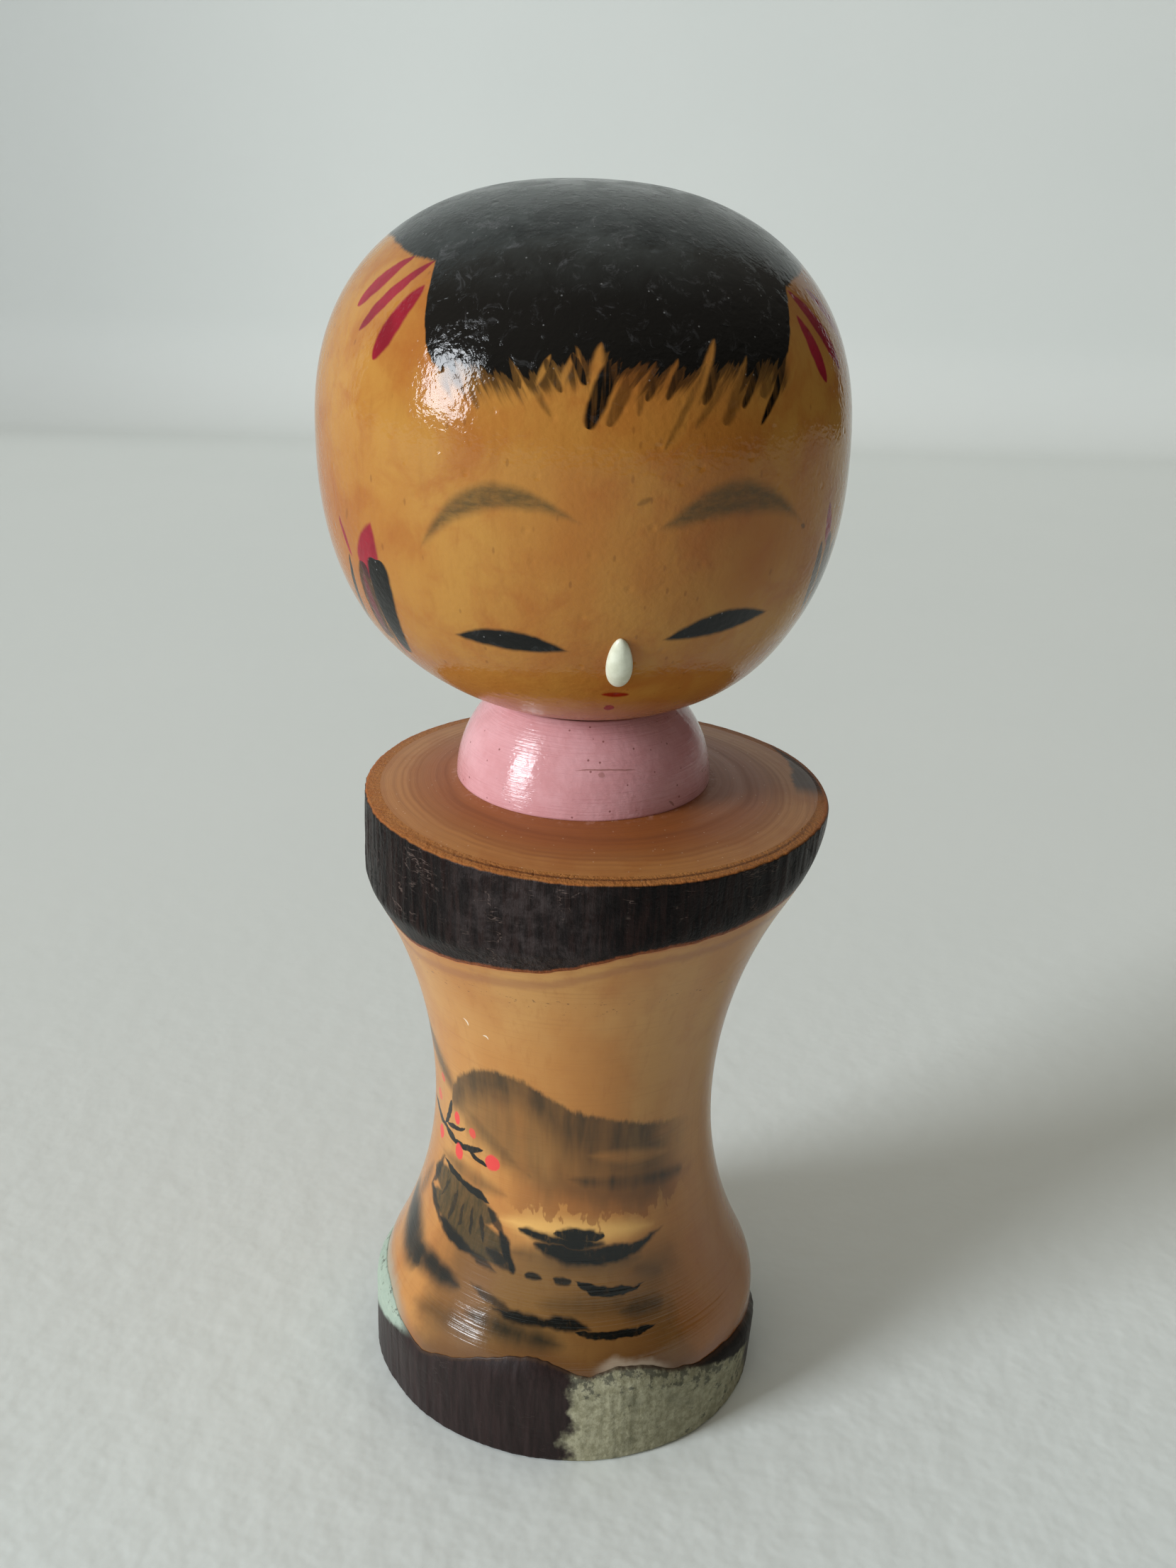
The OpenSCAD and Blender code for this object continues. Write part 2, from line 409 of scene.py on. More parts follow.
class Nodes:
    """Short calls that add nodes to one tree. A value is a number or another node's output."""

    def __init__(self, tree):
        self.tree = tree

    def add(self, kind, values=(), out=0, **settings):
        node = self.tree.nodes.new("ShaderNode" + kind)
        for name, setting in settings.items():
            setattr(node, name, setting)
        for key, value in dict(values).items():
            if isinstance(value, bpy.types.NodeSocket):
                self.tree.links.new(value, node.inputs[key])
            else:
                node.inputs[key].default_value = value
        return node.outputs[out]

    def math(self, operation, a, b=0, c=0):
        return self.add("Math", {0: a, 1: b, 2: c}, operation=operation)

    def times(self, a, b):
        return self.math("MULTIPLY", a, b)

    def plus(self, a, b):
        return self.math("ADD", a, b)

    def minus(self, a, b):
        return self.math("SUBTRACT", a, b)

    def larger(self, a, b):
        return self.math("MAXIMUM", a, b)

    def length(self, x, y):
        return self.math("SQRT", self.plus(self.times(x, x), self.times(y, y)))

    def step(self, value, low, high, to_low=0, to_high=1):
        """Smooth change from to_low to to_high as value goes from low to high."""
        values = {0: value, 1: low, 2: high, 3: to_low, 4: to_high}
        return self.add("MapRange", values, interpolation_type="SMOOTHSTEP")

    def within(self, value, start, full, leave, end):
        """1 between full and leave, with a smooth rise before and a smooth fall after."""
        return self.times(self.step(value, start, full), self.step(value, leave, end, 1, 0))

    def sway(self, noise, amount):
        """Noise made to swing about 0, over a range of amount."""
        return self.times(self.minus(noise, 0.5), amount)

    def mix(self, factor, a, b):
        """Colour between a and b, each a node's output or the 0-255 values that a picture shows."""
        a, b = (linear(c) if isinstance(c, tuple) else c for c in (a, b))
        return self.add("Mix", {0: factor, 6: a, 7: b}, out=2, data_type="RGBA")

    def blend(self, factor, a, b):
        """Number between a and b."""
        return self.add("Mix", {0: factor, 2: a, 3: b}, data_type="FLOAT")

    def split(self, vector):
        node = self.tree.nodes.new("ShaderNodeSeparateXYZ")
        self.tree.links.new(vector, node.inputs[0])
        return node.outputs

    def join(self, x, y, z):
        return self.add("CombineXYZ", {0: x, 1: y, 2: z})

    def vector(self, operation, a, b=(0, 0, 0), scale=1):
        return self.add("VectorMath", {0: a, 1: b, 3: scale}, operation=operation)

    def stretch(self, vector, x, y, z):
        return self.vector("MULTIPLY", vector, (x, y, z))

    def noise(self, vector, size, detail=2, rough=0.5, bend=0, colour=False):
        """Noise between 0 and 1 whose features are about size across, in the vector's units."""
        values = {"Vector": vector, "Scale": 1 / size, "Detail": detail, "Roughness": rough}
        values["Distortion"] = bend
        return self.add("TexNoise", values, out=1 if colour else 0)

    def grain(self, vector, share, *sizes):
        """Noise drawn out along Z: share is across over along."""
        return self.noise(self.stretch(vector, 1, 1, share), *sizes)

    def cells(self, vector, size):
        """Distance from the nearest of many scattered points that are about size apart."""
        return self.add("TexVoronoi", {"Vector": vector, "Scale": 1 / size})

    def note(self, label):
        """The number that a mesh holds under a label at each point."""
        return self.add("Attribute", out=2, attribute_name=label)

    def position(self):
        """Place on the object in millimetres."""
        return self.vector("SCALE", self.add("TexCoord", out=3), scale=1 / MM)

    def profile(self, azimuth, points, low, high):
        """A height that depends on azimuth, through (azimuth, height) points, between low and high."""
        node = self.tree.nodes.new("ShaderNodeFloatCurve")
        curve = node.mapping.curves[0]
        shown = [((a + 180) / 360, (h - low) / (high - low)) for a, h in points]
        while len(curve.points) < len(shown):
            curve.points.new(0.5, 0.5)
        for point, (x, y) in zip(curve.points, shown):
            point.location = (x, y)
            point.handle_type = "VECTOR"
        node.mapping.update()
        self.tree.links.new(self.add("MapRange", {0: azimuth, 1: -180.0, 2: 180.0}), node.inputs["Value"])
        return self.add("MapRange", {0: node.outputs[0], 1: 0.0, 2: 1.0, 3: low, 4: high})

    def azimuth(self, x, y):
        """Degrees round the axis from the front."""
        return self.times(self.math("ARCTAN2", x, self.times(y, -1.0)), 180 / math.pi)


def make_brush():
    """Node group for one stroke of a brush: how much of the paint covers a place, from 0 to 1. The
    stroke lies along X in its own frame, and fills -1 to 1 of its length, half width and reach."""
    tree = bpy.data.node_groups.new("brush", "ShaderNodeTree")
    for kind, names in (("Vector", "Place Middle Turn Size"), ("Float", "Bend Point Taper Soft Strength")):
        for name in names.split():
            tree.interface.new_socket(name, in_out="INPUT", socket_type="NodeSocket" + kind)
    tree.interface.new_socket("Cover", in_out="OUTPUT", socket_type="NodeSocketFloat")
    n = Nodes(tree)
    given = tree.nodes.new("NodeGroupInput").outputs
    local = n.add("Mapping", {0: given["Place"], 1: given["Middle"], 2: given["Turn"], 3: given["Size"]},
                  vector_type="TEXTURE")
    x, y, z = n.split(local)
    bulge = n.larger(n.math("MULTIPLY_ADD", n.times(x, x), -1, 1), 0)
    width = n.times(n.math("POWER", bulge, given["Point"]), n.math("MULTIPLY_ADD", x, given["Taper"], 1))
    width = n.times(width, n.math("LESS_THAN", n.math("ABSOLUTE", z), 1))
    off_line = n.math("ABSOLUTE", n.minus(y, n.times(bulge, given["Bend"])))
    cover = n.step(n.minus(width, off_line), 0, given["Soft"], 0, given["Strength"])
    leave = tree.nodes.new("NodeGroupOutput")
    tree.links.new(cover, leave.inputs[0])
    return tree


BRUSH = make_brush()
REACH = 3.5


def head_point(azimuth, height):
    return Vector(polar(azimuth, head_radius(height), height) + [head_lean(height), 0, 0])


def body_point(azimuth, height):
    return Vector(polar(azimuth, turned_radius(height), height))


def collar_point(azimuth, height):
    share = (height - BODY_H) / COLLAR_CROWN
    return Vector(polar(azimuth, COLLAR_R * math.sqrt(1 - share * share), height))


def stroke(n, place, surface, a1, z1, a2, z2, wide, strength=1, soft=0.3, point=0.5, bend=0, taper=0):
    """One brush stroke from azimuth a1 and height z1 to a2 and z2. wide, half its width, and bend are in
    millimetres, and a stroke from left to right bends upwards. soft is a share of the half width."""
    start, end = surface(a1, z1), surface(a2, z2)
    azimuth, height = (a1 + a2) / 2, (z1 + z2) / 2
    middle = surface(azimuth, height)
    east = surface(azimuth + 1, height) - surface(azimuth - 1, height)
    north = surface(azimuth, height + 0.2) - surface(azimuth, height - 0.2)
    along = (end - start).normalized()
    across = east.cross(north).cross(along).normalized()
    turn = Matrix((along, across, along.cross(across))).transposed().to_euler()
    node = n.tree.nodes.new("ShaderNodeGroup")
    node.node_tree = BRUSH
    n.tree.links.new(place, node.inputs["Place"])
    size = ((end - start).length / 2, wide, REACH)
    values = {"Middle": middle, "Turn": turn, "Size": size, "Bend": bend / wide, "Point": point}
    values |= {"Taper": taper, "Soft": soft, "Strength": strength}
    for name, value in values.items():
        node.inputs[name].default_value = value
    return node.outputs[0]


def strokes(n, place, surface, rows, under=0):
    """Largest cover of several strokes, and of what is under them. A row holds what stroke takes from
    a1 on: numbers in that order, and then values by name where those before them are the usual."""
    cover = under
    for row in rows:
        *given, shape = row if isinstance(row[-1], dict) else (*row, {})
        cover = n.larger(cover, stroke(n, place, surface, *given, **shape))
    return cover


def begin(name):
    """A new material, its nodes and the place that it colours."""
    material = bpy.data.materials.new(name)
    material.use_nodes = True
    n = Nodes(material.node_tree)
    return material, n, n.position()


def finish(n, colour, roughness, height=None, **constants):
    """Feeds the shader. height, in millimetres, becomes bump, and constants go on its own sockets."""
    shader = n.tree.nodes["Principled BSDF"]
    n.tree.links.new(colour, shader.inputs["Base Color"])
    n.tree.links.new(roughness, shader.inputs["Roughness"])
    if height is not None:
        bump = n.add("Bump", {"Strength": 1, "Distance": MM, "Height": height})
        n.tree.links.new(bump, shader.inputs["Normal"])
    for name, value in constants.items():
        shader.inputs[name].default_value = value


def wobble(n, place, size, amount):
    """The place moved a little by noise, so that a painted edge isn't perfect."""
    shift = n.vector("SUBTRACT", n.noise(place, size, 2, colour=True), (0.5, 0.5, 0.5))
    return n.vector("ADD", place, n.vector("SCALE", shift, scale=amount))


# -------- the painted head

# The black cap's lower edge with the fringe in front, and a tuft behind: (azimuth, height)
HAIR_EDGE = [
    (-180, 108.6), (-170, 108.9), (-166, 110.5), (-161, 116.6), (-150, 117), (-110, 117.3), (-74, 117.6),
    (-62, 117.2), (-50, 116.7), (-41.7, 116.6), (-40, 115.3), (-37.8, 113.4), (-36, 111.8), (-33, 109.8),
    (-29, 109), (-20, 108.9), (-10, 109.4), (-4, 110), (2, 110.4), (8, 109.7), (20, 109.5), (32, 109.4),
    (43.6, 109.4), (46.2, 110.6), (49.5, 112.2), (51.5, 113.4), (55.6, 115.1), (63.8, 115.6), (82, 116.1),
    (110, 117), (150, 117), (161, 116.6), (166, 110.5), (170, 108.9), (180, 108.6),
]
# Rows of strokes: azimuth and height of one end and of the other, half width, and then strength,
# softness, point, bend and taper as far as they aren't the usual
FRINGE = [
    (-30.5, 110.6, -26.5, 108, 0.5, 0.75, 0.8, 0.3),
    (-25.5, 110.5, -20.5, 106.6, 0.55, 0.6, 0.8, 0.3),
    (-16.5, 110.8, -12.5, 108.4, 0.6, 0.9, 0.6, 0.3),
    (-13.5, 111, -6.4, 106.5, 0.5, 0.5, 0.8, 0.3),
    (-8.4, 110.8, -4.6, 108.2, 0.5, 0.85, 0.6, 0.3),
    (-3, 111.2, 0.2, 108.8, 0.5, 1, 0.6, 0.3),
    (7.4, 111.8, 0.4, 105.8, 0.95, 1, 0.45, 0.2, -0.15),
    (10.4, 110.8, 4.2, 105.9, 0.75, 0.62, 0.5, 0.2),
    (12, 110.6, 9.8, 106.6, 0.5, 0.5, 0.8, 0.3),
    (16.4, 111.2, 11.4, 107.8, 0.65, 0.85, 0.6, 0.25),
    (21, 111.4, 15.6, 107.8, 0.6, 0.9, 0.6, 0.25),
    (24.5, 110.5, 14.9, 104.2, 0.45, 0.45, 0.8, 0.3),
    (29, 111.4, 23, 107.4, 0.75, 0.9, 0.6, 0.25),
    (31.5, 110.6, 21, 105.6, 0.55, 0.45, 0.8, 0.25),
    (35.5, 110.8, 27.4, 105.8, 0.85, 0.55, 0.6, 0.2),
    (39, 111, 31.6, 107, 0.6, 1, 0.6, 0.25),
    (43.5, 111, 36.6, 107.6, 0.95, 0.6, 0.6, 0.2),
    (46.4, 111.6, 35.6, 105.6, 0.55, 1, 0.5, 0.4, 0.3),
]
# Bare wood that shows between the fringe's strokes
PARTING = [
    (3, 112, 1, 107.6, 0.75, 1, 0.8),
    (27.4, 112.2, 21, 107.4, 0.6, 1, 0.7),
    (-2.6, 111.2, -4.8, 108.6, 0.4, 0.8, 0.8),
    (-7, 111, -9.5, 108.6, 0.4, 0.8, 0.8),
    (18.6, 110.8, 13.8, 107.8, 0.4, 0.7, 0.8),
    (34.6, 110.8, 29.6, 107.8, 0.4, 0.6, 0.8),
]
FACE = [
    (-29.8, 87.2, -2.3, 86.8, 1.3, 1, 0.38, 0.85, 0.84),
    (17.4, 87.8, 45.2, 89.1, 1.36, 1, 0.38, 0.85, 0.84),
]
LOCKS = [
    (-47.6, 92.6, -51, 83.4, 1.55, dict(point=0.2, taper=-0.35)),
    (-53.6, 91.9, -57, 84.4, 1.35, 0.85, dict(point=0.25)),
    (-59, 92, -69.8, 83.4, 0.42),
    (-52, 86.5, -57, 82.6, 0.3, 0.7),
    (60.5, 94.4, 63.6, 87.6, 0.8, 0.85),
    (65, 94.8, 69.4, 86.4, 1.15, 0.85, dict(point=0.35)),
    (70.5, 93.6, 73, 85, 1, dict(point=0.3)),
    (-56.2, 96.6, -57.4, 95.4, 0.35, 0.2, 0.8),
    (49.4, 96.8, 51, 96.4, 0.35, 0.55, 0.7),
    (9.9, 99.9, 12.9, 100.4, 0.4, 0.35, 0.8),
]
RED = [
    (-51, 117, -62.4, 112.8, 0.95, dict(taper=0.2)),
    (-42.6, 117, -57.2, 111.2, 0.72, dict(taper=0.15)),
    (-40.8, 115.2, -48.8, 109.3, 1.1, dict(taper=0.2)),
    (56.4, 115.2, 69.2, 108.6, 0.95, dict(taper=0.2)),
    (66.6, 114.9, 79, 110.3, 0.95, dict(taper=0.1)),
    (54.4, 113.3, 59.2, 107.9, 0.9, dict(taper=0.2)),
    (-61.3, 95.4, -58.3, 92.1, 0.34),
    (-47.6, 96.2, -53, 90.6, 1.7, dict(point=0.6, taper=0.45)),
    (-51.8, 84.9, -58.2, 79.6, 0.26, 0.8),
    (61.4, 97.8, 64.3, 93.8, 0.75, dict(taper=0.2)),
    (163.5, 115.6, 152, 110.6, 0.7, dict(taper=0.2)),
    (163, 112.6, 157, 108.6, 0.7, dict(taper=0.2)),
    (-163.5, 115.6, -152, 110.6, 0.7, dict(taper=0.2)),
    (-163, 112.6, -157, 108.6, 0.7, dict(taper=0.2)),
]
RED_OVER_INK = [(-54.4, 91, -57, 84.6, 0.75, 0.5, 0.6)]
MOUTH = [
    (4.6, 82.3, 12.8, 82.2, 0.6, 1, 0.6),
    (5.8, 80.4, 9, 80.4, 0.8, 1, 0.4),
]
BROWS = [
    (-34.2, 94.5, 0.4, 98.1, 1.5, 1, 0.75, 0.7, 3.8),
    (13.6, 97.5, 51.4, 96.3, 1.9, 1, 0.7, 0.8, 3.1, -0.35),
]


def head_material():
    material, n, place = begin("lacquered_head")
    x, y, z = n.split(place)
    painted = wobble(n, place, 1.4, 0.35)
    fine = n.noise(place, 0.5, 2)

    def paint(rows, under=0):
        return strokes(n, painted, head_point, rows, under)

    broad = n.grain(place, 0.7, 16, 3, 0.55)
    cloud = n.noise(place, 5, 4, 0.6, 0.4)
    grain = n.grain(place, 0.14, 1.1, 3, 0.6)
    wood = n.mix(n.step(broad, 0.35, 0.65), (176, 125, 57), (163, 101, 41))
    wood = n.mix(n.step(cloud, 0.42, 0.72, 0, 0.6), wood, (154, 85, 34))
    wood = n.mix(n.step(grain, 0.5, 0.8, 0, 0.22), wood, (139, 80, 31))
    pores = n.cells(n.stretch(place, 1, 1, 0.4), 1.5)
    wood = n.mix(n.step(pores, 0.05, 0.12, 0.35, 0), wood, (100, 56, 24))

    azimuth = n.azimuth(n.plus(x, 0.9), y)
    edge = n.profile(azimuth, HAIR_EDGE, 100, 125)
    bristle = n.noise(n.join(azimuth, n.times(z, 0.15), 0), 0.8, 2)
    height = n.split(painted)[2]
    # the fringe's thin paint: streaks that lean towards the middle of the forehead, under the strokes
    swept = n.plus(azimuth, n.times(n.step(azimuth, -8, 10, -1.6, 2.2), n.minus(110, z)))
    streak = n.noise(n.join(swept, n.times(z, 0.3), 0), 1.9, 3, 0.6)
    hang = n.plus(n.minus(z, edge), n.times(n.minus(streak, 0.42), 7))
    forehead = n.within(azimuth, -33, -27, 43, 46.5)
    thin = n.times(forehead, n.step(hang, -1.6, 0.6, 0, 0.8))
    uneven = n.blend(forehead, n.sway(bristle, 0.35), n.times(n.minus(0.5, streak), 4))
    soft_edge = n.blend(forehead, 0.2, 0.7)
    above_edge = n.minus(height, n.plus(edge, uneven))
    cap = n.step(above_edge, n.times(soft_edge, -0.6), soft_edge)
    thin = n.times(thin, n.step(n.minus(z, edge), -3.2, -0.6))
    parting = paint(PARTING)
    under = n.times(n.larger(cap, thin), n.minus(1, parting))
    fringe = n.times(paint(FRINGE), n.step(bristle, 0.35, 0.6, 0.84, 1))
    hair = paint(FACE + LOCKS, n.larger(under, fringe))

    dry = n.grain(place, 3, 1.2, 3, 0.7)
    brows = n.times(paint(BROWS), n.step(dry, 0.25, 0.7, 0.62, 0.92))
    red = paint(RED)
    over = paint(RED_OVER_INK)
    mouth = paint(MOUTH)

    # dust and scuffs that show on the black, and painted sheen: the cap's top is lighter and greyer, partly
    # for dust and partly as a painted reflection of the room above
    dust_and_sheen = n.times(n.step(z, 114, 122), n.step(cloud, 0.3, 0.7, 0.25, 1))
    rubbed = n.grain(place, 1, 1.6, 5, 0.7, 0.8)
    scuff = n.times(n.step(rubbed, 0.54, 0.68), n.step(z, 108, 120, 0.12, 0.4))
    black = n.mix(n.times(dust_and_sheen, 0.55), (6, 5, 4), (94, 100, 98))
    black = n.mix(scuff, black, (92, 92, 94))
    specks = n.cells(place, 1.1)
    black = n.mix(n.step(specks, 0.04, 0.09, 0.5, 0), black, (140, 140, 140))

    colour = n.mix(brows, wood, (84, 66, 36))
    colour = n.mix(red, colour, n.mix(n.step(cloud, 0.3, 0.7), (150, 24, 44), (122, 18, 34)))
    colour = n.mix(mouth, colour, (132, 24, 8))
    colour = n.mix(hair, colour, black)
    colour = n.mix(over, colour, (120, 40, 60))
    rough = n.plus(n.step(cloud, 0.3, 0.7, 0.07, 0.11), n.step(z, 79, 86, 0.14, 0))
    rough = n.plus(rough, n.times(hair, n.plus(n.times(dust_and_sheen, 0.22), n.times(scuff, 0.3))))
    peel = n.plus(n.times(fine, 0.04), n.times(n.noise(place, 1.6, 2), 0.036))
    dents = n.step(n.cells(place, 2.4), 0, 0.2, -0.04, 0)
    peel = n.plus(peel, dents)
    grit = n.times(n.times(cap, n.step(rubbed, 0.5, 0.75)), 0.025)
    finish(n, colour, rough, n.plus(peel, grit), IOR=1.35)
    return material


# -------- the painted body

MOUNTAIN_EDGE = [
    (-180, 20), (-63, 20), (-57, 37.2), (-51.3, 39.1), (-45, 40.6), (-39, 41.6), (-33, 42.2), (-26.5, 42.4),
    (-17.2, 41.8), (-8.4, 40.3), (-2, 39.2), (8.3, 38.3), (22.2, 37.1), (31.4, 36.4), (38.3, 36), (46, 35.6),
    (60, 34), (66, 20), (180, 20),
]
MOUNTAIN_FOOT = [
    (-180, 34), (-60, 34.5), (-33, 31.5), (-20, 30.5), (-14, 29.2), (-1, 28.4), (12, 27.6), (27, 27),
    (50, 26), (180, 30),
]
WASHES = [
    (-90, 43.4, -50, 35.6, 2.2, 0.8, 0.9, 0.35),
    (-60, 37.4, -13, 29.8, 2.6, 0.72, 1, 0.35),
    (-92, 19.6, -60, 15, 4, 1, 0.8, 0.3),
    (-74, 16.2, -38.5, 16.6, 2.3, 1, 0.8, 0.35, dict(taper=-0.2)),
    (-72, 25.6, -84, 18, 1.5, 0.6, 0.9),
    (-66, 28.2, -25, 27.6, 1.6, 0.6, 0.9),
    (-36, 14.8, 0, 13.9, 2.4, 0.95, 1, 0.4),
    (-58, 12.8, -22, 13.4, 2, 0.5, 1, 0.4),
    (15.5, 16.5, 33.5, 16.4, 2.1, 0.85, 1, 0.4),
    (-24, 22.2, 28, 21.6, 2.4, 0.75, 1, 0.4),
    (-12, 17.6, 31, 17, 2.2, 0.5, 1, 0.4),
    (22, 20.6, 35, 19, 1.4, 0.35, 0.9),
    (-5, 30.8, 50, 28.8, 2.9, 0.95, 1, 0.3),
    (-16, 31.6, 26, 29.8, 2.2, 0.6, 1, 0.4),
    (-11, 37.6, 5, 32, 2.2, 0.5, 1, 0.4),
]
THATCH = [
    (-70, 25.6, -29, 24.6, 2.3, 0.96),
    (-68, 23.2, -23, 22.2, 2, 0.96),
    (-54, 21.6, -23, 20.8, 1.4, 0.96),
]
BODY_INK = [
    # plum branch
    (-80, 32.6, -63, 30.9, 0.46),
    (-66, 31.4, -53.5, 30.5, 0.44),
    (-57.5, 30.6, -38.2, 31.7, 0.45, dict(bend=-0.45)),
    (-57, 35, -64, 31.3, 0.36),
    (-63, 31.9, -48, 32.8, 0.36, dict(bend=-0.25)),
    (-47.5, 30.8, -35.2, 30.1, 0.36, dict(bend=-0.2)),
    # hut
    (-62, 28, -70.5, 22.8, 0.6, 0.85, 0.7),
    (-71, 23.4, -55, 20.8, 0.75, 0.9, 0.7),
    (-59, 21.5, -35.5, 20.2, 1.05, 1, 0.6, dict(bend=-0.2)),
    (-62, 27.6, -46, 26.7, 0.45, dict(bend=-0.1)),
    (-50.5, 26.9, -33, 26.3, 0.58, 1, 0.4, dict(bend=-0.1)),
    (-33.5, 25.8, -25.6, 23, 0.6, 0.85, 0.6),
    (-28, 24, -20.6, 19.6, 0.85, 1, 0.6),
    (-33, 21.6, -21.5, 20, 1, 0.9, 0.7),
    (-41, 20.3, -26, 19.4, 0.7, 0.8, 0.8),
    (-56.5, 25.8, -60.5, 23.2, 0.3, 0.6, 0.6),
    (-50, 25.6, -53.2, 21.4, 0.55, 0.75, 0.7),
    (-45.8, 24.8, -46.4, 21.8, 0.32, 0.7, 0.6),
    (-41.4, 25, -40.2, 21.6, 0.36, 0.8, 0.6),
    (-37, 24.6, -34.8, 21.8, 0.36, 0.8, 0.6),
    # ground before the hut
    (-90, 18.6, -60, 15.4, 3.4, 0.9, 0.9, 0.35),
    (-70, 16.6, -39, 16.8, 1.5, 0.85, 0.9, 0.35),
    # far trees
    (-13, 23.9, 13, 23.3, 1.3, 1, 0.8, 0.35),
    (-20, 24.4, -5, 23.8, 0.9, 1, 0.7, 0.35),
    (-14.5, 23.4, 15, 22.3, 1.35, 1, 0.6, 0.4, -0.45),
    (-6.5, 24.6, 12.5, 24.2, 1, 1, 0.45, 0.3),
    (0, 22.3, 37.6, 23.8, 1.05, 1, 0.6, 0.4, -0.85, -0.5),
    (6, 22.5, 24, 22.7, 1, 1, 0.6),
    # water and boat
    (-17, 19.95, -9.6, 19.85, 0.66, 0.95, 0.6),
    (-6, 19.75, 1, 19.6, 0.66, 0.95, 0.6),
    (2, 19.8, 28, 19, 0.66, 1, 0.4, 0.7, -1, -0.4),
    # shore
    (-27, 16.1, 8, 15.3, 0.8, 1, 0.8, 0.35),
    (-36, 17.5, -15, 15.4, 0.85, 0.8, 0.8),
    (-24, 15.8, -6, 15.7, 1, 1, 0.7),
    (-10, 15.9, 6.6, 15.3, 1, 1, 0.65),
    (1.4, 15.1, 28.8, 14.7, 0.6, 1, 0.4, dict(bend=-0.6)),
]
BLOSSOM = [
    (-56, 33.4, -52, 33.4, 0.85),
    (-46.2, 32.9, -42, 32.9, 0.7, 0.8),
    (-70, 29.8, -65.2, 29.8, 0.95),
    (-54.8, 29.7, -49.4, 29.7, 1.05),
    (-37, 30.6, -30, 30.6, 1.02),
    (-73, 33.9, -68, 33.9, 0.75, 0.7),
    (-66.6, 36.7, -63, 36.7, 0.6, 0.6),
]
GLOW = [(-30, 25.2, 34, 24.6, 2.1, 0.9, 0.9, 0.4)]
SCRATCHES = [
    (-40.8, 47.4, -39.2, 46.6, 0.12, dict(bend=0.2)),
    (-33.4, 46.1, -31.2, 45.8, 0.12, dict(bend=0.2)),
]


def cut_wood(n, place):
    """Colour, year rings and tool marks of the shoulder's top, whose pith is off the turning axis."""
    x, y, _ = n.split(place)
    ring_r = n.length(n.minus(x, PITH[0]), n.minus(y, PITH[1]))
    ring_r = n.plus(ring_r, n.sway(n.noise(place, 9, 2), 1.4))
    rings = n.noise(n.join(ring_r, 0, 0), 1.3, 3, 0.6)
    axis_r = n.length(x, y)
    cuts = n.noise(n.join(axis_r, 3, 0), 0.22, 2, 0.6)
    cloud = n.noise(place, 3.6, 4, 0.6, 0.4)
    top = n.mix(n.step(ring_r, 15, 19.5), (152, 90, 46), (176, 122, 68))
    top = n.mix(n.step(ring_r, 20, 22.6, 0, 0.55), top, (152, 88, 42))
    top = n.mix(n.step(rings, 0.4, 0.68, 0, 0.5), top, (122, 71, 43))
    top = n.mix(n.step(cloud, 0.4, 0.75, 0, 0.4), top, (152, 88, 38))
    top = n.mix(n.step(cuts, 0.5, 0.75, 0, 0.2), top, (98, 57, 36))
    dust = n.cells(place, 0.9)
    top = n.mix(n.step(dust, 0.05, 0.1, 0.5, 0), top, (214, 190, 160))
    beside = n.step(axis_r, COLLAR_R, COLLAR_R + 1.1, 1, 0)
    smear = n.times(beside, n.step(n.noise(place, 0.8, 3, 0.7), 0.5, 0.68))
    top = n.mix(n.times(smear, 0.6), top, (186, 136, 116))
    # a charred wedge at the back right, wider towards the right
    azimuth = n.azimuth(x, y)
    wedge_r = n.step(azimuth, 88, 126, 20.6, 23.2)
    wedge = n.minus(axis_r, n.plus(wedge_r, n.sway(cloud, 1.6)))
    wedge = n.times(n.step(wedge, -0.2, 0.3), n.within(azimuth, 84, 94, 120, 128))
    top = n.mix(n.times(wedge, 0.85), top, (40, 32, 30))
    return top, rings, cuts


